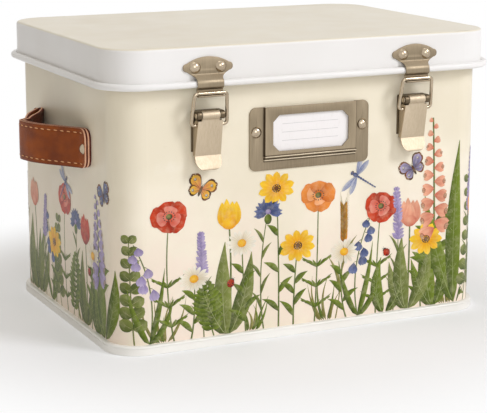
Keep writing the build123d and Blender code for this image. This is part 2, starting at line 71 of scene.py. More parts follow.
class Signal:
    """A socket of a finish; sums on it add the Math nodes they need."""

    def __init__(self, finish, socket):
        self.finish = finish
        self.socket = socket

    def sum(self, operation, first, second=0.0):
        return self.finish.node("ShaderNodeMath", {"operation": operation}, {0: first, 1: second})

    def __add__(self, other):
        return self.sum("ADD", self, other)

    __radd__ = __add__

    def __mul__(self, other):
        return self.sum("MULTIPLY", self, other)

    __rmul__ = __mul__

    def __sub__(self, other):
        return self.sum("SUBTRACT", self, other)

    def __rsub__(self, other):
        return self.sum("SUBTRACT", other, self)

    def __abs__(self):
        return self.sum("ABSOLUTE", self)

    def ramp(self, low, high, start=0.0, end=1.0):
        """start at or under low, end at or over high, smooth between."""
        values = {"Value": self, "From Min": low, "From Max": high, "To Min": start, "To Max": end}
        return self.finish.node("ShaderNodeMapRange", {"interpolation_type": "SMOOTHSTEP"}, values)


class Finish:
    """A material: one surface shader and the nodes that feed it."""

    def __init__(self, name, **constants):
        self.material = bpy.data.materials.new(name)
        self.material.use_nodes = True
        self.tree = self.material.node_tree
        self.surface = self.tree.nodes["Principled BSDF"]
        for socket, value in constants.items():
            self.surface.inputs[socket.replace("_", " ")].default_value = value

    def put(self, socket, value):
        if isinstance(value, Signal):
            self.tree.links.new(value.socket, socket)
        else:
            socket.default_value = value

    def node(self, kind, settings=None, values=None, output=0):
        made = self.tree.nodes.new(kind)
        for name, value in (settings or {}).items():
            setattr(made, name, value)
        for name, value in (values or {}).items():
            self.put(made.inputs[name], value)
        return Signal(self, made.outputs[output])

    def feed(self, **sockets):
        for name, value in sockets.items():
            self.put(self.surface.inputs[name.replace("_", " ")], value)
        return self

    def place(self, scale=(1, 1, 1)):
        """Object coordinates, stretched by scale."""
        spot = self.node("ShaderNodeTexCoord", output="Object")
        return self.node("ShaderNodeMapping", {"vector_type": "POINT"}, {"Vector": spot, "Scale": scale})

    def noise(self, size, detail=3.0, rough=0.5, stretch=(1, 1, 1)):
        """Noise from 0 to 1 whose blotches are about size metres across."""
        values = {
            "Vector": self.place(stretch),
            "Scale": 1 / size,
            "Detail": detail,
            "Roughness": rough,
        }
        return self.node("ShaderNodeTexNoise", {}, values)

    def mix(self, factor, first, second, blend="MIX"):
        """A colour between first and second."""
        settings = {"data_type": "RGBA", "blend_type": blend}
        values = {0: factor, 6: first, 7: second}
        return self.node("ShaderNodeMix", settings, values, output=2)

    def height(self):
        """How far up the part a point lies, in metres."""
        return self.node("ShaderNodeSeparateXYZ", {}, {0: self.place()}, output=2)

    def aside(self):
        """How far a point lies from the part's middle, to either side, in metres."""
        return abs(self.node("ShaderNodeSeparateXYZ", {}, {0: self.place()}, output=0))

    def tone(self):
        """The colour fed so far."""
        return Signal(self, self.surface.inputs["Base Color"].links[0].from_socket)

    def bump(self, relief, depth, strength=1.0):
        values = {"Height": relief, "Distance": depth, "Strength": strength}
        self.put(self.surface.inputs["Normal"], self.node("ShaderNodeBump", {}, values))
        return self


def enamel(name, plain, worn, gloss, orange_peel=0.00004):
    """Baked enamel: faint clouds of tone, an orange-peel skin and fine handling marks."""
    finish = Finish(name, Specular_IOR_Level=0.28, Coat_Weight=0.06, Coat_Roughness=0.12)
    clouds = finish.noise(0.09, detail=2).ramp(0.35, 0.7)
    marks = finish.noise(0.004, detail=5, rough=0.7).ramp(0.66, 0.8)
    tone = finish.mix(clouds * 0.7 + marks * 0.25, linear(*plain), linear(*worn))
    finish.feed(Base_Color=tone, Roughness=finish.noise(0.02).ramp(0.2, 0.8, gloss, gloss + 0.12))
    return finish.bump(finish.noise(0.0022, detail=2), orange_peel, 0.5)


def lid_enamel():
    """The lid: white skirt and bead, and a top panel drawn creamier and darker as painted shade."""
    finish = enamel("lid_enamel", (241, 240, 239), (235, 233, 230), 0.3)
    # painted shade: a darker, warmer cream on the top panel for the warm shade the light leaves there
    cream = finish.mix(
        finish.noise(0.12, detail=2).ramp(0.35, 0.7), linear(233, 225, 206), linear(226, 216, 195),
    )
    tone = finish.mix(finish.height().ramp(LID_TOP - 0.0014, LID_TOP - 0.0003), finish.tone(), cream)
    return finish.feed(Base_Color=tone)


def watercolour_ground():
    """The printed wall: cream washed with soft pink low down and pale green higher up."""
    finish = Finish("printed_cream_enamel", Specular_IOR_Level=0.2, Coat_Weight=0.03, Coat_Roughness=0.15)
    height = finish.height()
    wash = finish.noise(0.11, detail=4, rough=0.55)
    bloom = finish.noise(0.035, detail=5, rough=0.6)
    grain = finish.noise(0.0035, detail=4, rough=0.7)
    ground = finish.mix(wash.ramp(0.38, 0.66), linear(238, 229, 207), linear(250, 242, 223))
    low = height.ramp(0.03, 0.12, 1.0, 0.0) * bloom.ramp(0.3, 0.62)
    ground = finish.mix(low * 0.8, ground, linear(248, 229, 215))
    high = height.ramp(0.12, 0.19) * wash.ramp(0.45, 0.62)
    ground = finish.mix(high * 0.65, ground, linear(225, 222, 194))
    ground = finish.mix(bloom.ramp(0.55, 0.78) * 0.4, ground, linear(251, 245, 233))
    ground = finish.mix(grain.ramp(0.6, 0.8) * 0.12, ground, linear(205, 190, 160))
    finish.feed(Base_Color=ground, Roughness=finish.noise(0.03).ramp(0.2, 0.8, 0.3, 0.42))
    return finish.bump(finish.noise(0.0025, detail=2), 0.00003, 0.4)


def plated(name, bright, dull, gloss, stretch, streak=0.0008):
    """Nickel plate: finely brushed along one way, faintly clouded, with a few darker specks."""
    finish = Finish(name, Metallic=1.0)
    brushed = finish.noise(streak, detail=4, rough=0.6, stretch=stretch)
    clouds = finish.noise(0.03, detail=2)
    specks = finish.noise(0.0014, detail=3).ramp(0.72, 0.8)
    tone = finish.mix(clouds.ramp(0.3, 0.75) * 0.45, linear(*bright), linear(*dull))
    tone = finish.mix(brushed.ramp(0.35, 0.7) * 0.3, tone, linear(*dull))
    tone = finish.mix(specks * 0.3, tone, linear(96, 82, 64))
    finish.feed(Base_Color=tone, Roughness=brushed.ramp(0.25, 0.75, gloss - 0.04, gloss + 0.08))
    return finish.bump(brushed, 0.00001, 0.3)


def holder_nickel():
    """The label holder's plate, with painted shade in its pocket's creases and sides and painted highlights
    on its ribs.
    """
    finish = plated("label_holder_nickel", *NICKEL)
    across = finish.aside()
    up = finish.height()
    over_foot = across.ramp(POCKET_HALF, POCKET_HALF + 0.0003, 1.0, 0.0)
    # painted shade: dark lines in the creases above, between and below the pocket's ribs
    creases = sum(1 - abs(up - level).ramp(0.0002, 0.0006) for level in POCKET_CREASES) * over_foot
    beside = 1 - abs(across - POCKET_HALF).ramp(0.0002, 0.0007)
    # painted shade: dark lines down both sides of the pocket, for the shaded gap along its edges
    sides = beside * up.ramp(POCKET_RIBS[0], POCKET_RIBS[0] + 0.0004)
    # painted highlights: light lines along the crests of the two ribs
    painted_rib_highlights = sum(1 - abs(up - level).ramp(0.0001, 0.0005) for level in POCKET_RIBS) * over_foot
    tone = finish.mix(creases * 0.75 + sides * 0.7, finish.tone(), linear(70, 58, 44))
    return finish.feed(Base_Color=finish.mix(painted_rib_highlights * 0.7, tone, linear(216, 202, 178)))


def leather(name, light, dark, edge=False):
    """Waxed leather: pores, wrinkles across the bends and a darker groove under each seam."""
    finish = Finish(name, Specular_IOR_Level=0.22)
    mottle = finish.noise(0.02, detail=5, rough=0.5)
    pores = finish.node(
        "ShaderNodeTexVoronoi", {"feature": "DISTANCE_TO_EDGE"},
        {"Vector": finish.place(), "Scale": 1100.0},
    )
    creases = finish.noise(0.004, detail=6, rough=0.7, stretch=(1, 1, 0.35))
    tone = finish.mix(mottle.ramp(0.25, 0.75), linear(*dark), linear(*light))
    tone = finish.mix(creases.ramp(0.6, 0.74) * 0.25, tone, linear(*dark))
    if edge:
        layers = finish.noise(0.0009, detail=3, stretch=(1, 1, 0.3))
        tone = finish.mix(layers.ramp(0.4, 0.7) * 0.5, tone, linear(*dark))
        finish.feed(Base_Color=tone, Roughness=0.75)
        return finish.bump(layers, 0.00012, 0.6)
    spot = finish.node("ShaderNodeUVMap", {"uv_map": "strap"})
    across = abs(finish.node("ShaderNodeSeparateXYZ", {}, {0: spot}, output=1))
    groove = 1 - abs(across - SEAM).ramp(0.0002, 0.0011)
    # darker near the long edges of the face: burnished edges and painted shade along them
    burnish_and_shade = across.ramp(*BURNISH_AND_SHADE_RIM)
    tone = finish.mix(groove * 0.5, tone, linear(*dark))
    tone = finish.mix(burnish_and_shade * 0.4, tone, linear(84, 36, 14))
    finish.feed(Base_Color=tone, Roughness=mottle.ramp(0.3, 0.7, 0.36, 0.5) + creases.ramp(0.5, 0.7) * 0.1)
    relief = pores.ramp(0.0, 0.12) * 0.35 + creases * 0.5 - groove * 1.6
    return finish.bump(relief, 0.00022, 0.7)


def stock(name, plain, fibre, size=0.0012):
    """Card or board with fibres and a soft unevenness."""
    finish = Finish(name, Roughness=0.85)
    fibres = finish.noise(size, detail=6, rough=0.75, stretch=(1, 1, 0.25))
    clouds = finish.noise(0.03)
    tone = finish.mix(fibres.ramp(0.5, 0.75) * 0.5 + clouds * 0.2, linear(*plain), linear(*fibre))
    return finish.feed(Base_Color=tone).bump(fibres, 0.00005, 0.4)


def ruled_card():
    """The label card: plain, with three faint writing lines."""
    finish = stock("label_card_stock", (246, 243, 243), (232, 228, 226))
    across = finish.aside()
    up = finish.height()
    lines = 0.0
    for level in LABEL_LINES:
        line = 1 - abs(up - level).ramp(0.00008, 0.0002)
        lines = line * across.ramp(LABEL_HALF, LABEL_HALF + 0.0002, 1.0, 0.0) + lines
    tone = finish.mix(lines * 0.55, finish.tone(), linear(150, 146, 148))
    return finish.feed(Base_Color=tone)


def ink():
    """Printed colours under the wall's clear coat, mottled as laid on with a brush."""
    finish = Finish("meadow_print", Specular_IOR_Level=0.2, Coat_Weight=0.03, Coat_Roughness=0.15)
    colour = finish.node("ShaderNodeAttribute", {"attribute_name": "ink"})
    strokes = finish.noise(0.0035, detail=4, rough=0.65)
    washes = finish.noise(0.012, detail=2)
    tone = finish.mix(strokes.ramp(0.4, 0.75) * 0.16, colour, linear(250, 240, 205))
    tone = finish.mix(washes.ramp(0.35, 0.7) * 0.16, tone, linear(60, 56, 40), "MULTIPLY")
    finish.feed(Base_Color=tone, Roughness=strokes.ramp(0.2, 0.8, 0.34, 0.46))
    return finish.bump(strokes, 0.00002, 0.4)


LID_TOP = 0.1965
LABEL_LINES = (0.1315, 0.137, 0.1425)
LABEL_HALF = 0.0205
POCKET_HALF = 0.0337
POCKET_RIBS = (0.1193, 0.1216)
POCKET_CREASES = (0.1185, 0.12045, 0.1224)
NICKEL = ((156, 141, 118), (132, 118, 96), 0.48, (1, 1, 0.08))
SEAM = 0.0102
# how far from the strap's middle line the face starts and ends darkening towards its edges, for burnish and
# painted shade
BURNISH_AND_SHADE_RIM = (0.0112, 0.0128)
FINISHES = {
    "enamel_cream": watercolour_ground(),
    "enamel_white": enamel("white_enamel", (248, 247, 243), (240, 237, 231), 0.3),
    "lid_enamel": lid_enamel(),
    "enamel_inside": enamel("inside_enamel", (228, 222, 205), (214, 206, 186), 0.42),
    "satin_nickel": plated("satin_nickel", *NICKEL),
    "label_holder_nickel": holder_nickel(),
    # painted shade: the latch base wears a darker copy of the nickel, for the shade it lies in behind the
    # lever
    "latch_base_nickel": plated("shaded_nickel", (118, 104, 84), (90, 78, 61), 0.42, (1, 1, 0.08)),
    "lever_nickel": plated("brushed_lever_nickel", (204, 188, 164), (186, 169, 144), 0.56, (1, 1, 0.05)),
    "bright_nickel": plated("bright_nickel", (196, 180, 157), (142, 124, 100), 0.17, (1, 1, 1), 0.0025),
    "card_white": ruled_card(),
    "card_cream": stock("index_card_board", (226, 212, 182), (196, 178, 142)),
    "leather_tan": leather("waxed_leather", (168, 84, 18), (112, 48, 6)),
}
CUT_EDGE = leather("cut_leather_edge", (246, 204, 174), (226, 168, 134), edge=True)
# dark band on the inner half of each cut edge: partly a burnished edge, partly painted shade between the
# layers
EDGE_BURNISH_AND_SHADE = leather("leather_core", (112, 44, 34), (78, 24, 20), edge=True)
# the lining's own darker leather, darkened further as painted shade for the strap's inner side
LINING = leather("leather_lining", (104, 46, 20), (62, 24, 12))
THREAD = stock("waxed_thread", (238, 182, 130), (206, 148, 98), 0.0006)
INK = ink()


# ---------------------------------------------------------------- shapes
def dressed(name, mesh, finishes, body, smooth=40):
    """Turns a bmesh into a piece that wears these finishes and rides on a body."""
    data = bpy.data.meshes.new(name)
    mesh.to_mesh(data)
    mesh.free()
    for finish in finishes:
        data.materials.append(finish.material)
    piece = bpy.data.objects.new(name, data)
    bpy.context.scene.collection.objects.link(piece)
    data.shade_smooth()
    data.set_sharp_from_angle(angle=math.radians(smooth))
    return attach(piece, body)


def eased(node, finish, body, ease, segments=2):
    """A copy of a solid whose sheared edges are eased, to stand for the node."""
    mesh = bmesh.new()
    mesh.from_mesh(frame["nodes"][node].data)
    bmesh.ops.remove_doubles(mesh, verts=mesh.verts, dist=1e-6)
    bmesh.ops.dissolve_limit(mesh, angle_limit=math.radians(0.5), verts=mesh.verts, edges=mesh.edges)
    sheared = [e for e in mesh.edges if len(e.link_faces) == 2 and e.calc_face_angle() > math.radians(40)]
    bmesh.ops.bevel(
        mesh, geom=sheared, offset=ease, offset_type="OFFSET", segments=segments, profile=0.5,
        affect="EDGES", material=-1, clamp_overlap=True,
    )
    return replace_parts(dressed(f"{node}_eased", mesh, [finish], body, smooth=28), node)


# ---------------------------------------------------------------- leather handles
STRAP_HEIGHT = 0.127
STRAP_HALF = 0.013
STRAP_CORNER = 0.007
HIDE = 0.0021
LINING_BOW = 0.0034
STITCH_START, STITCH_PITCH = 0.006, 0.005
STITCH_LONG, STITCH_PROUD, STITCH_WIDE = 0.00155, 0.00034, 0.00036
# how far each strap stands off its wall, from its front end to its rear end: (y, out)
STRAP_RUN = [
    (-52.0, 4.4), (-48.0, 4.5), (-44.0, 5.4), (-39.0, 9.0), (-34.0, 12.6), (-28.0, 17.0), (-22.0, 21.6),
    (-15.0, 25.6), (-8.5, 28.2), (-3.0, 29.6), (1.2, 30.2), (4.8, 29.4), (6.8, 27.0), (9.0, 24.4),
    (12.6, 22.8), (18.0, 20.6), (26.0, 16.8), (33.0, 12.4), (38.5, 8.4), (42.0, 5.6), (44.2, 4.4), (
        48.0, 4.4,
    ),
    (52.0, 4.4),
]


class Run:
    """A smooth line through points, walked by its length."""

    def __init__(self, points, steps=24):
        ends = [points[0] * 2 - points[1]] + points + [points[-1] * 2 - points[-2]]
        self.points = [points[0]]
        for before, start, end, after in zip(ends, ends[1:], ends[2:], ends[3:]):
            for k in range(1, steps + 1):
                t = k / steps
                line = 2 * start + (end - before) * t
                line += (2 * before - 5 * start + 4 * end - after) * t * t
                line += (3 * start - before - 3 * end + after) * t ** 3
                self.points.append(line / 2)
        self.walked = [0.0]
        for start, end in zip(self.points, self.points[1:]):
            self.walked.append(self.walked[-1] + (end - start).length)
        self.length = self.walked[-1]

    def at(self, distance):
        """The point and the outward direction at this distance along."""
        distance = min(max(distance, 0.0), self.length)
        k = max(1, next((i for i, w in enumerate(self.walked) if w >= distance), len(self.walked) - 1))
        share = (distance - self.walked[k - 1]) / (self.walked[k] - self.walked[k - 1])
        start, end = self.points[k - 1], self.points[k]
        ahead = self.points[min(k + 6, len(self.points) - 1)] - self.points[max(k - 7, 0)]
        ahead.normalize()
        return start.lerp(end, share), Vector((-ahead.y, ahead.x))


def strap_place(run, side, distance, up, sink):
    """A point on a strap: distance along it, up from its middle line and sink under its face."""
    spot, out = run.at(distance)
    spot = spot - out * sink
    return Vector((side * (WALL_X + spot.y), spot.x, STRAP_HEIGHT + up))


def strap_layer(name, side, run, sink, finishes, bow=0.0):
    """One layer of hide, bent along the run: rounded ends, eased rims and pale cut edges."""
    mesh = bmesh.new()
    bmesh.ops.create_grid(mesh, x_segments=110, y_segments=8, size=1)
    marks = mesh.loops.layers.uv.new("strap")
    spots = {}
    for vert in mesh.verts:
        share = 0.5 - 0.5 * math.cos(math.pi * (vert.co.x + 1) / 2)
        distance = share * run.length
        to_end = min(distance, run.length - distance)
        tuck = max(0.0, STRAP_CORNER - to_end)
        half = STRAP_HALF - STRAP_CORNER + math.sqrt(STRAP_CORNER ** 2 - tuck ** 2)
        up = vert.co.y * half
        rise = 0.00025 * (1 - (abs(up) / STRAP_HALF) ** 6)
        hollow = bow * math.exp(-(((distance - 0.095) / 0.015) ** 2))
        spots[vert] = (distance, up)
        vert.co = strap_place(run, side, distance, up, sink + hollow - rise)
    for face in mesh.faces:
        for loop in face.loops:
            loop[marks].uv = spots[loop.vert]
    if side < 0:
        bmesh.ops.reverse_faces(mesh, faces=mesh.faces)
    mesh.normal_update()
    depth = mesh.verts.layers.float.new("depth")
    shown = set(mesh.verts)
    bmesh.ops.solidify(mesh, geom=mesh.faces, thickness=HIDE)
    for vert in mesh.verts:
        vert[depth] = 0.0 if vert in shown else 1.0
    bmesh.ops.recalc_face_normals(mesh, faces=mesh.faces)
    across = [e for e in mesh.edges if abs(e.verts[0][depth] - e.verts[1][depth]) > 0.5]
    bmesh.ops.subdivide_edges(mesh, edges=across, cuts=1, use_grid_fill=True)
    rims = [
        e for e in mesh.edges
        if len(e.link_faces) == 2 and e.calc_face_angle() > math.radians(50) and e.verts[0][depth] in (
            0.0, 1.0,
        )
    ]
    bmesh.ops.bevel(
        mesh, geom=rims, offset=0.0003, segments=2, profile=0.5, affect="EDGES", material=-1,
        clamp_overlap=True,
    )
    # rim faces nearer the outer face take the pale cut edge, and those nearer the inner face take the dark
    # band of burnish and painted shade
    for face in mesh.faces:
        sunk = sum(v[depth] for v in face.verts) / len(face.verts)
        if 0.02 < sunk < 0.98:
            face.material_index = 1 if sunk < 0.5 else 2
    return dressed(name, mesh, finishes, "box", smooth=50)


def stitches(name, side, run):
    """Two rows of slanted saddle stitches that lie in their grooves on the outer face."""
    mesh = bmesh.new()
    sewn = run.length - 2 * STITCH_START
    count = int(sewn / STITCH_PITCH)
    for row in (-1, 1):
        for k in range(count + 1):
            distance = STITCH_START + k * sewn / count
            middle = strap_place(run, side, distance, row * SEAM, -0.00012)
            ahead = strap_place(run, side, distance + 0.0005, row * SEAM + 0.00004, -0.00012) - middle
            out = middle - strap_place(run, side, distance, row * SEAM, 0.0005)
            made = bmesh.ops.create_uvsphere(mesh, u_segments=8, v_segments=6, radius=1.0)
            turn = Matrix((ahead.normalized(), out.normalized(), ahead.cross(out).normalized())).transposed()
            for vert in made["verts"]:
                long, proud, wide = vert.co
                swell = Vector((long * STITCH_LONG, proud * STITCH_PROUD, wide * STITCH_WIDE))
                vert.co = middle + turn @ swell
    bmesh.ops.recalc_face_normals(mesh, faces=mesh.faces)
    return dressed(name, mesh, [THREAD], "box")


def handles():
    """A strap on each end wall: an outer hide, a lining under it and two rows of stitches."""
    for name, side in SIDES.items():
        run = Run([Vector((y * MM, out * MM)) for y, out in STRAP_RUN])
        hide = [FINISHES["leather_tan"], CUT_EDGE, EDGE_BURNISH_AND_SHADE]
        outer = strap_layer(f"handle_outer_hide_{name}", side, run, 0.0, hide)
        lining = [LINING, CUT_EDGE, EDGE_BURNISH_AND_SHADE]
        inner = strap_layer(f"handle_inner_hide_{name}", side, run, HIDE + 0.00012, lining, LINING_BOW)
        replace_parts(outer, f"handle_strap_{name}")
        stitches(f"handle_stitches_{name}", side, run)


# ---------------------------------------------------------------- printed meadow
WALL_X = 0.1347
WALL_Y = 0.0966
CORNER = 0.0198
GROUND = 0.0063
# how proud each layer of the print lies, and how far its shapes are spread above that
LIFT = {"grass": 0.03, "stem": 0.05, "leaf": 0.07, "vein": 0.15, "petal": 0.16, "heart": 0.25, "dot": 0.27}
LEVELS, LEVEL_STEP = 41, 0.002


def on_wall(along, up, proud):
    """The place that far round the walls from the middle of the front, up from the floor."""
    side = math.copysign(1, along)
    flat, turn, end = WALL_X - CORNER, CORNER * math.pi / 2, 2 * (WALL_Y - CORNER)
    run = abs(along)
    round_y = WALL_Y - CORNER
    if run < flat:
        place, out = (run, -WALL_Y), (0.0, -1.0)
    elif run < flat + turn:
        a = (run - flat) / CORNER
        out = (math.sin(a), -math.cos(a))
        place = (flat + CORNER * out[0], CORNER * out[1] - round_y)
    elif run < flat + turn + end:
        place, out = (WALL_X, run - flat - turn - round_y), (1.0, 0.0)
    elif run < flat + 2 * turn + end:
        a = (run - flat - turn - end) / CORNER
        out = (math.cos(a), math.sin(a))
        place = (flat + CORNER * out[0], CORNER * out[1] + round_y)
    else:
        place, out = (2 * flat + 2 * turn + end - run, WALL_Y), (0.0, 1.0)
    return Vector((side * (place[0] + proud * out[0]), place[1] + proud * out[1], up))


def blend_ink(first, second, share):
    share = min(max(share, 0.0), 1.0)
    return tuple(a + (b - a) * share for a, b in zip(first, second))


def heading(angle):
    """The way that leans angle degrees to the right of straight up."""
    return Vector((math.sin(math.radians(angle)), math.cos(math.radians(angle))))


class Print:
    """Shapes of flat colour, drawn in millimetres along the wall and up it."""

    def __init__(self, seed):
        self.sheets = {layer: bmesh.new() for layer in LIFT}
        self.ink = {layer: sheet.verts.layers.float_color.new("ink") for layer, sheet in self.sheets.items()}
        self.drawn = dict.fromkeys(LIFT, 0)
        self.dice = random.Random(seed)

    def lay(self, layer, verts, shape, colour):
        """Moves fresh grid points to their place in the drawing and inks them."""
        self.drawn[layer] += 1
        levels = LEVELS if layer in ("leaf", "petal") else LEVELS // 4
        lift = LIFT[layer] + LEVEL_STEP * (self.drawn[layer] % levels)
        ink = self.ink[layer]
        for vert in verts:
            a, t = vert.co.x, (vert.co.y + 1) / 2
            place = shape(a, t)
            vert[ink] = colour(a, t)
            vert.co = Vector((place[0], place[1], lift))

    def blade(
        self, layer, base, angle, length, width, dark, light, bend=0.0, full=0.8, tip=1.0, cells=(4, 9),
        streak=0.0,
    ):
        """A leaf or petal on a bent spine: full moves its widest part, tip under 1 rounds its end."""
        base = Vector(base)
        ahead = heading(angle)
        aside = Vector((ahead.y, -ahead.x))
        shade = self.dice.uniform(-0.12, 0.12)

        def shape(a, t):
            middle = base + ahead * (length * t) + aside * (bend * 4 * t * (1 - t) if bend else 0.0)
            swell = math.sin(math.pi * min(t, 0.999) ** full) ** tip
            return middle + aside * (a * width / 2 * max(swell, 0.03))

        def colour(a, t):
            side = 0.5 + 0.5 * a if streak == 0 else 0.5 + 0.5 * math.cos(a * math.pi * streak)
            share = 0.65 * side + 0.35 * t + shade if streak == 0 else 0.75 * t + 0.25 * side + shade
            return blend_ink(dark, light, share)

        made = bmesh.ops.create_grid(self.sheets[layer], x_segments=cells[0], y_segments=cells[1], size=1)
        self.lay(layer, made["verts"], shape, colour)
        return shape(0, 1)

    def stalk(self, base, top, bend, thick, dark, light, layer="stem"):
        """A tapering stem from base to top that bows aside by bend; returns its run of points."""
        base, top = Vector(base), Vector(top)
        ahead = top - base
        aside = Vector((ahead.y, -ahead.x)).normalized()

        def middle(t):
            return base + ahead * t + aside * (bend * 4 * t * (1 - t))

        def shape(a, t):
            return middle(t) + aside * (a * thick / 2 * (1.15 - 0.45 * t))

        rows = max(6, int(ahead.length / 5))
        made = bmesh.ops.create_grid(self.sheets[layer], x_segments=2, y_segments=rows, size=1)
        self.lay(layer, made["verts"], shape, lambda a, t: blend_ink(dark, light, 0.5 + 0.5 * a))
        return middle

    def spot(self, layer, centre, wide, tall, dark, light, turn=0.0, sides=14):
        """A filled round, dark at its rim and light inside."""
        centre = Vector(centre)
        ahead = heading(turn)
        aside = Vector((ahead.y, -ahead.x))
        made = bmesh.ops.create_circle(
            self.sheets[layer], cap_ends=True, cap_tris=True, segments=sides, radius=1,
        )

        def shape(a, t):
            return centre + aside * (a * wide / 2) + ahead * ((2 * t - 1) * tall / 2)

        def colour(a, t):
            return blend_ink(light, dark, math.hypot(a + 0.25, 2 * t - 1.3) * 0.8)

        self.lay(layer, made["verts"], shape, colour)

    def press(self, name):
        """Wraps every sheet round the walls and gives each its piece."""
        for layer, sheet in self.sheets.items():
            sheet.normal_update()
            bmesh.ops.reverse_faces(sheet, faces=[f for f in sheet.faces if f.normal.z < 0])
            for vert in sheet.verts:
                along, up, lift = vert.co
                vert.co = on_wall(along * MM, max(up * MM, GROUND), lift * MM)
            dressed(f"{name}_{layer}", sheet, [INK], "box")


LEAF_DEEP, LEAF_FRESH = linear(52, 70, 18), linear(124, 144, 40)
LEAF_BLUE, LEAF_PALE = linear(60, 76, 28), linear(138, 148, 74)
LEAF_DRY, LEAF_OLIVE = linear(98, 96, 42), linear(158, 152, 76)
STEM_DARK, STEM_LIGHT = linear(72, 90, 40), linear(124, 138, 72)
SUN_DEEP, SUN = linear(230, 150, 14), linear(255, 214, 52)
FLAME_DEEP, FLAME = linear(128, 18, 10), linear(214, 66, 26)
CORAL_DEEP, CORAL = linear(206, 104, 82), linear(244, 184, 152)
LILAC_DEEP, LILAC = linear(124, 108, 160), linear(194, 180, 216)
BLUE_DEEP, BLUE = linear(48, 58, 100), linear(110, 124, 172)
CREAM_DEEP, CREAM = linear(216, 198, 160), linear(253, 249, 238)
EARTH_DEEP, EARTH = linear(56, 32, 18), linear(130, 78, 36)
BLACK, GREY = linear(28, 24, 24), linear(88, 84, 86)


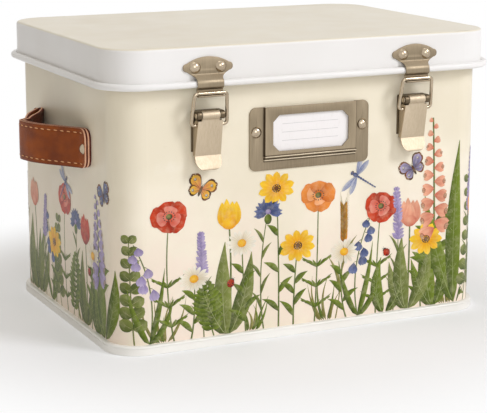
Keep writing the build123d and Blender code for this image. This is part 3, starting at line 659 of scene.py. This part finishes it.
class Meadow(Print):
    """The plants of the border. Each takes its place along the wall and its height."""

    def pair(self, first, second):
        return self.dice.choice((first, second))

    def sway(self, most):
        return self.dice.uniform(-most, most)

    def grass(self, at, high, lean=0.0):
        for k in range(6):
            angle = (k - 2.5) * 9 + self.sway(5) + lean
            dark, light = self.pair((LEAF_DEEP, LEAF_FRESH), (LEAF_DRY, LEAF_OLIVE))
            long = high * self.dice.uniform(0.55, 1.0)
            self.blade(
                "grass", (at + (k - 2.5) * 1.4, 5.5), angle, long, 2.4, dark, light, bend=self.sway(4),
                full=0.35, cells=(2, 9),
            )

    def broad_leaves(self, at, high, lean=0.0, pale=False):
        dark, light = (LEAF_BLUE, LEAF_PALE) if pale else (LEAF_DEEP, LEAF_FRESH)
        for side, share, angle in ((-1, 0.72, -22), (1, 0.9, 17), (-1, 1.0, -4)):
            turn = angle + lean + self.sway(4)
            wide = min(0.2 * high * share, 11.0) + 1.5
            base = (at + side * 1.2, 5.0)
            bend = side * (3 + self.sway(1.5))
            self.blade(
                "leaf", base, turn, high * share, wide, dark, light, bend=bend, full=0.72, cells=(4, 12),
            )
            self.veins(base, turn, high * share, wide, bend, light)

    def veins(self, base, turn, long, wide, bend, light):
        """The pale midrib of a broad leaf and the veins that leave it."""
        base = Vector(base)
        ahead = heading(turn)
        aside = Vector((ahead.y, -ahead.x))
        pale = blend_ink(light, CREAM, 0.3)
        self.blade(
            "vein", base, turn, long * 0.94, 0.5, light, pale, bend=bend * 0.96, full=0.3, cells=(1, 10),
        )
        for k in range(2, 8):
            t = k / 9
            foot = base + ahead * (long * t) + aside * (bend * 4 * t * (1 - t))
            for way in (-1, 1):
                reach = wide * 0.42 * math.sin(math.pi * t ** 0.72)
                self.blade(
                    "vein", foot, turn + way * 42, reach * 1.25, 0.32, light, pale, full=0.4, cells=(1, 3),
                )

    def small_leaves(self, middle, levels, long, wide, dark, light, spread=48):
        """Leaves in turn left and right up a stem."""
        for k, level in enumerate(levels):
            way = 1 if k % 2 else -1
            foot = middle(level)
            size = long * (1.1 - 0.5 * level)
            self.blade(
                "leaf", foot, way * (spread + self.sway(8)), size, wide, dark, light,
                bend=-way * size * 0.1, cells=(4, 7),
            )

    def bloom(
        self, centre, petals, inner, long, wide, dark, light, turn=0.0, squash=1.0, tip=0.55, full=1.35,
        streak=2.0,
    ):
        """A ring of petals seen at a slant."""
        for k in range(petals):
            angle = 360 * k / petals + turn + self.sway(3)
            ahead = heading(angle)
            foot = Vector(centre) + Vector((ahead.x, ahead.y * squash)) * inner
            flat = math.hypot(ahead.x, ahead.y * squash)
            lean = math.degrees(math.atan2(ahead.x, ahead.y * squash))
            size = long * flat * self.dice.uniform(0.92, 1.05)
            self.blade(
                "petal", foot, lean, size, wide, dark, light, full=full, tip=tip, cells=(4, 7),
                streak=streak,
            )

    def daisy(self, at, high, lean=0.0, yellow=False):
        top = Vector((at + lean, high))
        middle = self.stalk((at, 5.5), top, self.sway(3), 1.1, STEM_DARK, STEM_LIGHT)
        self.small_leaves(middle, (0.12, 0.25, 0.4, 0.52, 0.66), 15, 4.0, LEAF_DEEP, LEAF_FRESH)
        dark, light = (SUN_DEEP, SUN) if yellow else (CREAM_DEEP, CREAM)
        count, long, wide = (10, 11.5, 5.4) if yellow else (15, 8.6, 2.6)
        self.bloom(top, count, 2.2, long, wide, dark, light, self.sway(12), 0.82)
        heart = (EARTH_DEEP, EARTH) if yellow else (SUN_DEEP, SUN)
        self.spot("heart", top, 6.4, 5.4, *heart)
        for k in range(9):
            seed = top + heading(40 * k) * 2.0
            self.spot("dot", seed, 0.8, 0.8, SUN_DEEP, SUN, sides=6)

    def poppy(self, at, high, lean=0.0, colours=(FLAME_DEEP, FLAME)):
        top = Vector((at + lean, high))
        middle = self.stalk((at, 5.5), top, self.sway(5), 1.0, STEM_DARK, STEM_LIGHT)
        for level in (0.12, 0.28, 0.44):
            foot = middle(level)
            for way in (-1, 1):
                for k in range(4):
                    spot = foot + heading(way * 55) * (3.2 * k)
                    self.blade(
                        "leaf", spot, way * (30 + 14 * k), 6.5 - k, 2.0, LEAF_DEEP, LEAF_FRESH,
                        cells=(2, 5),
                    )
                self.blade("leaf", foot, way * 55, 15, 1.6, LEAF_DEEP, LEAF_FRESH, cells=(2, 6))
        self.bloom(top, 5, 0.6, 12.5, 13.5, *colours, self.sway(20), 0.8, tip=0.42, full=1.5, streak=3.0)
        self.bloom(
            top + Vector((0, 0.8)), 3, 0.4, 8.5, 9.5, colours[1], blend_ink(colours[1], CREAM, 0.25),
            30 + self.sway(20), 0.75, tip=0.42, full=1.5,
        )
        self.spot("heart", top + Vector((0, 0.6)), 4.6, 4.0, BLACK, LEAF_OLIVE)
        for k in range(14):
            tip = top + Vector((0, 0.6)) + Vector(
                (heading(360 / 14 * k).x * 4.0, heading(360 / 14 * k).y * 3.2),
            )
            self.spot("dot", tip, 0.9, 0.9, BLACK, GREY, sides=6)

    def tulip(self, at, high, lean=0.0, colours=(CORAL_DEEP, CORAL)):
        top = Vector((at + lean, high - 17))
        self.stalk((at, 5.5), top + Vector((0, 2)), self.sway(3), 1.5, STEM_DARK, STEM_LIGHT)
        self.broad_leaves(at, (high - 17) * 0.82, pale=True)
        for angle, long, wide in (
            (-17, 18, 9.5), (17, 18, 9.5), (-6, 19.5, 8.0), (7, 17.5, 8.5), (0, 15.5, 9.0),
        ):
            self.blade(
                "petal", top, angle + lean * 0.5, long, wide, *colours, bend=angle * 0.09, full=0.74,
                tip=0.8, cells=(4, 9), streak=2.0,
            )
        self.spot("petal", top + Vector((0, 3.0)), 10.5, 8.0, *colours)

    def cornflower(self, at, high, lean=0.0, colours=(BLUE_DEEP, BLUE)):
        top = Vector((at + lean, high))
        middle = self.stalk((at, 5.5), top, self.sway(4), 0.9, STEM_DARK, STEM_LIGHT)
        self.small_leaves(middle, (0.15, 0.3, 0.45, 0.6, 0.75), 17, 2.4, LEAF_BLUE, LEAF_PALE, spread=32)
        self.spot("leaf", top - Vector((0, 4.0)), 5.4, 7.0, LEAF_DEEP, LEAF_FRESH)
        for ring, long in ((11, 9.5), (8, 6.5)):
            for k in range(ring):
                angle = -100 + 200 * k / (ring - 1) + self.sway(5)
                foot = top + heading(angle) * 1.0
                for split in (-11, 0, 11):
                    self.blade(
                        "petal", foot, angle + split, long * (1 - abs(split) / 60), 2.3, *colours, full=1.7,
                        tip=0.6, cells=(2, 5),
                    )
        self.spot("heart", top + Vector((0, 1.0)), 4.0, 3.4, LILAC_DEEP, LILAC)

    def lavender(self, at, high, lean=0.0, colours=(LILAC_DEEP, LILAC)):
        middle = self.stalk((at, 5.5), (at + lean, high), self.sway(3), 0.7, STEM_DARK, STEM_LIGHT)
        self.small_leaves(middle, (0.1, 0.18, 0.28, 0.38, 0.48), 18, 2.0, LEAF_BLUE, LEAF_PALE, spread=24)
        for k in range(15):
            level = 0.6 + 0.4 * k / 14
            foot = middle(level)
            size = 5.6 * (1 - 0.45 * k / 14)
            for angle in (-58, 58, -18, 18):
                self.blade(
                    "petal", foot, angle + self.sway(12), size, 2.2, *colours, full=1.1, tip=0.7,
                    cells=(2, 4),
                )

    def bells(self, at, high, lean=0.0, colours=(BLUE_DEEP, BLUE)):
        way = 1 if lean >= 0 else -1
        middle = self.stalk((at, 5.5), (at + lean + way * 7, high), -way * 6, 1.0, STEM_DARK, STEM_LIGHT)
        for angle, long in ((-20, 0.75), (12, 0.9), (28, 0.6)):
            self.blade(
                "leaf", (at, 5.0), angle, high * long * 0.8, 4.2, LEAF_DEEP, LEAF_FRESH, bend=angle * 0.12,
                full=0.6, cells=(4, 10),
            )
        for k in range(7):
            foot = middle(0.56 + 0.072 * k)
            side = way if k % 3 else -way
            hang = foot + Vector((side * 2.6, -1.2))
            self.blade("stem", foot, side * 115, 3.2, 0.5, STEM_DARK, STEM_LIGHT, cells=(1, 3))
            for angle in (-15, 15, 0):
                self.blade(
                    "petal", hang, 180 + angle - side * 8, 7.8 - 0.35 * k, 4.4, *colours, full=1.5, tip=0.6,
                    cells=(4, 6), streak=1.0,
                )

    def spire(self, at, high, lean=0.0, colours=(CORAL_DEEP, CORAL)):
        """A tall spike of bell flowers, wide open below and in bud at its tip."""
        middle = self.stalk((at, 5.5), (at + lean, high), self.sway(3), 1.7, STEM_DARK, STEM_LIGHT)
        self.broad_leaves(at, high * 0.4)
        self.small_leaves(middle, (0.2, 0.27, 0.34, 0.41), 22, 7.0, LEAF_DEEP, LEAF_FRESH, spread=56)
        for k in range(17):
            level = 0.42 + 0.56 * k / 16
            foot = middle(level)
            size = 12.5 * (1 - 0.72 * (k / 16) ** 1.2)
            way = 1 if k % 2 else -1
            turn = way * (118 - 60 * k / 16)
            for flare in (-20, 20, -7, 7):
                self.blade(
                    "petal", foot, turn + flare, size, size * 0.42, *colours, full=1.5, tip=0.55,
                    cells=(4, 6), streak=1.0,
                )
            mouth = foot + heading(turn) * size * 0.86
            if size > 6:
                self.spot(
                    "heart", mouth, size * 0.4, size * 0.26, blend_ink(colours[0], EARTH_DEEP, 0.35),
                    CREAM_DEEP, turn,
                )
                for step in (-0.9, 0.2, 1.1):
                    self.spot(
                        "dot", mouth + Vector((step, 0.3 * step)), 0.55, 0.55, FLAME_DEEP, FLAME_DEEP,
                        sides=6,
                    )

    def wheat(self, at, high, lean=0.0):
        middle = self.stalk((at, 5.5), (at + lean, high), self.sway(5), 0.8, LEAF_DRY, LEAF_OLIVE)
        self.small_leaves(middle, (0.2, 0.42), 30, 2.6, LEAF_DRY, LEAF_OLIVE, spread=20)
        for k in range(9):
            foot = middle(0.68 + 0.035 * k)
            for way in (-1, 1):
                self.blade(
                    "leaf", foot, way * 24 + lean * 0.4, 6.4, 2.6, EARTH, SUN_DEEP, full=0.8, cells=(2, 5),
                )
                self.blade(
                    "petal", foot, way * 14 + lean * 0.4, 15, 0.35, LEAF_DRY, LEAF_OLIVE, full=0.3,
                    cells=(1, 4),
                )

    def coin_sprig(self, at, high, lean=0.0):
        """A sprig of round blue-green leaves in pairs."""
        middle = self.stalk((at, 5.5), (at + lean, high), self.sway(6), 0.9, LEAF_DRY, STEM_LIGHT)
        for k in range(8):
            foot = middle(0.16 + 0.115 * k)
            size = 10.5 * (1 - 0.055 * k)
            for way in (-1, 1):
                self.blade(
                    "leaf", foot, way * (62 - 3 * k) + self.sway(8), size, size * 0.86, LEAF_BLUE,
                    LEAF_PALE, full=1.05, tip=0.55, cells=(4, 8),
                )
                self.blade(
                    "vein", foot, way * (62 - 3 * k), size * 0.8, 0.3, LEAF_PALE, CREAM_DEEP, full=0.3,
                    cells=(1, 4),
                )

    def ladder_leaf(self, at, high, lean=0.0):
        """A long leaf of many small leaflets with a tendril at its tip."""
        middle = self.stalk((at, 5.5), (at + lean, high), lean * 0.25, 0.9, STEM_DARK, STEM_LIGHT)
        for k in range(11):
            foot = middle(0.14 + 0.078 * k)
            size = 12.5 * math.sin(math.pi * (0.22 + 0.068 * k))
            for way in (-1, 1):
                self.blade(
                    "leaf", foot, way * 66 + lean * 0.8, size, 4.0, LEAF_DEEP, LEAF_FRESH, full=0.95,
                    tip=0.75, cells=(4, 6),
                )

    def ladybird(self, at, high, turn=0.0):
        centre = Vector((at, high))
        self.spot("heart", centre + heading(turn) * 2.6, 2.9, 2.0, BLACK, GREY, turn)
        self.spot("dot", centre, 5.2, 5.6, FLAME_DEEP, FLAME, turn)
        for way in (-1, 1):
            for k, step in enumerate((-1.3, 0.6)):
                self.spot(
                    "dot", centre + heading(turn) * step + heading(turn + 90) * way * 1.2, 1.0, 1.0, BLACK,
                    BLACK, sides=8,
                )
                self.blade(
                    "petal", centre + heading(turn) * step, turn + way * (70 + 30 * k), 4.0, 0.4, BLACK,
                    BLACK, full=0.3, cells=(1, 3),
                )
            self.blade(
                "petal", centre + heading(turn) * 3, turn + way * 24, 2.4, 0.3, BLACK, BLACK, full=0.3,
                cells=(1, 3),
            )
        self.blade("dot", centre - heading(turn) * 2.5, turn, 5.0, 0.35, BLACK, BLACK, full=0.3, cells=(1, 3))

    def dragonfly(self, at, high, turn=0.0, colours=(BLUE_DEEP, BLUE)):
        centre = Vector((at, high))
        back = heading(turn)
        for way in (-1, 1):
            for spread, long in ((72, 15), (100, 13.5)):
                pale = blend_ink(colours[1], CREAM, 0.55)
                self.blade(
                    "petal", centre, turn + way * spread, long, 3.8, colours[1], pale, full=1.25, tip=0.6,
                    cells=(4, 7),
                )
                self.blade(
                    "heart", centre, turn + way * spread, long * 0.93, 0.35, *colours, full=0.3,
                    cells=(1, 5),
                )
                for k in range(3):
                    foot = centre + heading(turn + way * spread) * (long * (0.35 + 0.18 * k))
                    self.blade(
                        "heart", foot, turn + way * (spread - 50), 1.6, 0.25, *colours, full=0.4,
                        cells=(1, 2),
                    )
        for k in range(8):
            self.spot("dot", centre - back * (1.5 + 2.1 * k), 1.7 - 0.11 * k, 2.3, *colours, turn, sides=10)
        self.spot("dot", centre + back * 1.4, 2.9, 4.2, *colours, turn)
        self.spot("dot", centre + back * 4.2, 3.0, 2.2, EARTH_DEEP, *colours[1:], turn)

    def moth(self, at, high, turn=0.0, colours=(CORAL_DEEP, CORAL)):
        """A small moth with its wings spread, dark along their rims, with a pale eye on each."""
        centre = Vector((at, high))
        for way in (-1, 1):
            for spread, long, wide in ((52, 11.5, 8.0), (112, 8.0, 6.6)):
                angle = turn + way * spread
                self.blade(
                    "petal", centre, angle, long + 0.7, wide + 1.0, BLACK, EARTH, full=1.75, tip=0.6,
                    cells=(4, 7),
                )
                self.blade(
                    "petal", centre, angle, long - 0.5, wide - 1.1, *colours, full=1.75, tip=0.6,
                    cells=(4, 7), streak=2.0,
                )
                eye = centre + heading(angle) * long * 0.7
                self.spot("heart", eye, 2.0, 2.0, EARTH_DEEP, CREAM, sides=10)
                for k in (-1, 0, 1):
                    rim = centre + heading(angle + 9 * k) * (long - 0.4)
                    self.spot("dot", rim, 0.6, 0.6, CREAM_DEEP, CREAM, sides=6)
                self.blade(
                    "heart", centre, angle + way * 8, long * 0.8, 0.3, EARTH, EARTH_DEEP, full=0.3,
                    cells=(1, 4),
                )
            self.blade(
                "dot", centre + heading(turn) * 2.4, turn + way * 26, 4.6, 0.3, BLACK, BLACK, full=0.3,
                cells=(1, 4),
            )
        self.spot("dot", centre - heading(turn) * 0.8, 1.9, 7.6, BLACK, EARTH, turn)


YELLOW = {"yellow": True}
RED_TULIP = {"colours": (FLAME_DEEP, FLAME)}
GOLD_TULIP = {"colours": (SUN_DEEP, SUN)}
LILAC_BLOOM = {"colours": (LILAC_DEEP, LILAC)}
ORANGE_POPPY = {"colours": (linear(188, 82, 24), linear(244, 152, 66))}
FRONT_BORDER = [
    ("coin_sprig", -124, 76, -3, {}), ("bells", -114, 72, -3, LILAC_BLOOM), ("grass", -105, 34, 0, {}),
    ("poppy", -97, 88, -3, {}), ("daisy", -85, 46, 2, {}), ("lavender", -76, 74, -2, {}),
    ("ladder_leaf", -69, 44, -5, {}), ("tulip", -59, 94, 1, GOLD_TULIP), ("daisy", -46, 66, -3, {}),
    ("grass", -41, 28, 3, {}), ("cornflower", -33, 84, 3, {}), ("daisy", -22, 100, -2, YELLOW),
    ("daisy", -11, 60, 3, YELLOW), ("poppy", 5, 92, 2, ORANGE_POPPY), ("grass", 13, 34, 0, {}),
    ("wheat", 21, 84, 5, {}), ("daisy", 29, 52, -2, {}), ("bells", 38, 74, 2, {}),
    ("poppy", 52, 80, 3, {}), ("broad_leaves", 59, 40, 4, {}), ("lavender", 66, 90, 1, {}),
    ("tulip", 77, 82, 1, {}), ("daisy", 88, 54, 3, YELLOW), ("spire", 98, 138, -3, {}),
    ("grass", 108, 42, -2, {}), ("broad_leaves", 116, 116, 6, {}), ("coin_sprig", 124, 94, 3, {}),
    ("lavender", 131, 112, 2, {}), ("poppy", 138, 74, 2, ORANGE_POPPY),
]
SIDE_BORDER = [
    ("broad_leaves", 146, 60, 4, {}), ("spire", 158, 104, 2, LILAC_BLOOM), ("daisy", 170, 60, -3, {}),
    ("tulip", 180, 84, 1, RED_TULIP), ("grass", 189, 40, 0, {}), ("cornflower", 196, 76, 3, {}),
    ("ladder_leaf", 206, 56, -6, {}), ("poppy", 217, 90, 3, {}), ("coin_sprig", 230, 72, 4, {}),
    ("daisy", 241, 52, 2, YELLOW), ("bells", 249, 74, 4, {}), ("lavender", 262, 82, -2, {}),
    ("broad_leaves", 271, 50, -6, {"pale": True}), ("tulip", 282, 90, 2, {}), ("grass", 292, 38, 0, {}),
    ("wheat", 299, 92, 5, {}), ("daisy", 309, 66, 3, {}), ("spire", 322, 112, -2, {}),
]
REAR_BORDER = [
    ("coin_sprig", 336, 60, 4, {}), ("poppy", 348, 82, -3, ORANGE_POPPY), ("grass", 357, 40, 0, {}),
    ("cornflower", 365, 72, 3, LILAC_BLOOM), ("daisy", 376, 56, 2, YELLOW), ("ladder_leaf", 386, 52, 6, {}),
    ("tulip", 398, 82, -2, GOLD_TULIP), ("lavender", 410, 78, 2, {}), ("daisy", 421, 58, -2, {}),
    ("bells", 431, 70, 3, {}), ("grass", 440, 36, 0, {}),
]


def meadow():
    """The printed border, with the plants of the front, the ends and the rear."""
    border = Meadow(11)
    plan = FRONT_BORDER + SIDE_BORDER + REAR_BORDER
    plan += [(kind, -at - 4, high * 0.94, -lean, more) for kind, at, high, lean, more in SIDE_BORDER[::-1]]
    plan += [(kind, -at, high * 1.05, -lean, more) for kind, at, high, lean, more in REAR_BORDER[::-1]]
    for kind, at, high, lean, more in plan:
        getattr(border, kind)(at, high, lean, **more)
    for at, high, turn in ((36, 103, -58), (-222, 96, 40), (232, 100, -30)):
        border.dragonfly(at, high, turn)
    for at, high, turn in ((-57, 40, 30), (60, 48, -40), (-178, 44, 20), (212, 38, 60), (400, 44, -20)):
        border.ladybird(at, high, turn)
    for at, high, turn, colours in (
        (-78, 104, 24, (CORAL_DEEP, SUN)), (80, 104, -30, (BLUE_DEEP, LILAC)), (
            -150, 100, -20, (BLUE_DEEP, BLUE),
        ),
        (276, 104, 30, (CORAL_DEEP, SUN)), (-330, 106, -16, (CORAL_DEEP, CORAL)), (
            -404, 98, 20, (BLUE_DEEP, LILAC),
        ),
    ):
        border.moth(at, high, turn, colours)
    border.press("meadow")


# ---------------------------------------------------------------- the whole
EASE = {
    "keeper": 0.00025, "latch_base": 0.0002, "lever": 0.0002, "hinge_leaf": 0.0002, "label_holder": 0.0001,
}
OWN_FINISH = {"lid_shell": "lid_enamel", "label_holder": "label_holder_nickel"}
for handed in SIDES:
    OWN_FINISH[f"lever_{handed}"] = "lever_nickel"
    OWN_FINISH[f"latch_base_{handed}"] = "latch_base_nickel"


def dress_solids():
    """Gives every solid its finish, and the sheared plates their eased edges."""
    for subpart in frame["record"]["subparts"]:
        node = subpart["node"]
        body = frame["nodes"][node].parent.name.split(":")[-1]
        finish = FINISHES[OWN_FINISH.get(node, subpart["material_slot"])]
        mesh = frame["nodes"][node].data
        mesh.materials.clear()
        mesh.materials.append(finish.material)
        ease = next((size for start, size in EASE.items() if node.startswith(start)), None)
        if ease and not node.endswith("rivets"):
            eased(node, finish, body, ease)


FLOOR_NEAR, FLOOR_FAR = 0.18, 0.31
ROOM_LIGHT = 0.35
ROOM_TINT = (1.0, 0.92, 0.8, 1.0)
BOX_MIDDLE = (0, 0, 0.1)


def floor():
    """A pale floor that takes the shadow near the box and fades to plain white away from it."""
    mesh = bmesh.new()
    bmesh.ops.create_grid(mesh, x_segments=2, y_segments=2, size=6)
    data = bpy.data.meshes.new("floor")
    mesh.to_mesh(data)
    mesh.free()
    piece = bpy.data.objects.new("floor", data)
    bpy.context.scene.collection.objects.link(piece)
    finish = Finish(
        "floor_paper", Base_Color=linear(250, 251, 253), Roughness=0.9, Specular_IOR_Level=0.1,
    )
    far = finish.node("ShaderNodeVectorMath", {"operation": "LENGTH"}, {0: finish.place()}, output="Value")
    rays = [f"Is {ray} Ray" for ray in ("Camera", "Glossy", "Transmission")]
    seen = sum(finish.node("ShaderNodeLightPath", output=ray) for ray in rays)
    glow = finish.node("ShaderNodeEmission", {}, {"Color": (1, 1, 1, 1), "Strength": 1.0})
    fade = far.ramp(FLOOR_NEAR, FLOOR_FAR, 0.28, 1.0) * seen
    both = finish.node(
        "ShaderNodeMixShader", {}, {0: fade, 1: Signal(finish, finish.surface.outputs[0]), 2: glow},
    )
    finish.tree.links.new(both.socket, finish.tree.nodes["Material Output"].inputs["Surface"])
    data.materials.append(finish.material)


def softbox(name, place, size, power, tint=(1.0, 1.0, 1.0)):
    """A round soft light, aimed at the middle of the box."""
    light = bpy.data.lights.new(name, "AREA")
    light.shape = "DISK"
    light.size = size
    light.energy = power
    light.color = tint
    lamp = bpy.data.objects.new(name, light)
    lamp.location = place
    lamp.rotation_euler = (Vector(BOX_MIDDLE) - Vector(place)).to_track_quat("-Z", "Y").to_euler()
    bpy.context.scene.collection.objects.link(lamp)


def studio():
    """The floor, three soft lights and a warm room that shows white behind the box."""
    floor()
    softbox("key", (1.43, -1.83, 1.85), 1.0, 36, (0.99, 1.0, 1.06))
    softbox("front_fill", (-0.5, -2.6, 1.1), 1.6, 15)
    softbox("top_fill", (-0.3, 0.4, 2.4), 1.6, 9)
    world = bpy.context.scene.world or bpy.data.worlds.new("room")
    bpy.context.scene.world = world
    world.use_nodes = True
    tree = world.node_tree
    room = tree.nodes["Background"]
    room.inputs["Color"].default_value = ROOM_TINT
    room.inputs["Strength"].default_value = ROOM_LIGHT
    white = tree.nodes.new("ShaderNodeBackground")
    white.inputs["Color"].default_value = (1, 1, 1, 1)
    path = tree.nodes.new("ShaderNodeLightPath")
    shown = room
    for ray in ("Is Camera Ray", "Is Glossy Ray", "Is Transmission Ray"):
        either = tree.nodes.new("ShaderNodeMixShader")
        tree.links.new(path.outputs[ray], either.inputs[0])
        tree.links.new(shown.outputs[0], either.inputs[1])
        tree.links.new(white.outputs[0], either.inputs[2])
        shown = either
    tree.links.new(shown.outputs[0], tree.nodes["World Output"].inputs["Surface"])
    bpy.context.scene.view_settings.view_transform = "Standard"


LENS = 120.42
SHIFT = (-0.01167, -0.0860)
CAMERA_PLACE = (-0.4932, -1.0207, 0.3224)
CAMERA_TURN = (78.717, -0.112, -25.917)


def camera():
    """The camera, in front of the box and to its left, looking slightly down."""
    lens = bpy.data.cameras.new("camera")
    lens.sensor_width = 36
    lens.lens = LENS
    lens.shift_x, lens.shift_y = SHIFT
    made = bpy.data.objects.new("camera", lens)
    made.location = CAMERA_PLACE
    made.rotation_mode = "XYZ"
    made.rotation_euler = tuple(math.radians(a) for a in CAMERA_TURN)
    bpy.context.scene.collection.objects.link(made)
    bpy.context.scene.camera = made


dress_solids()
handles()
meadow()
studio()
camera()
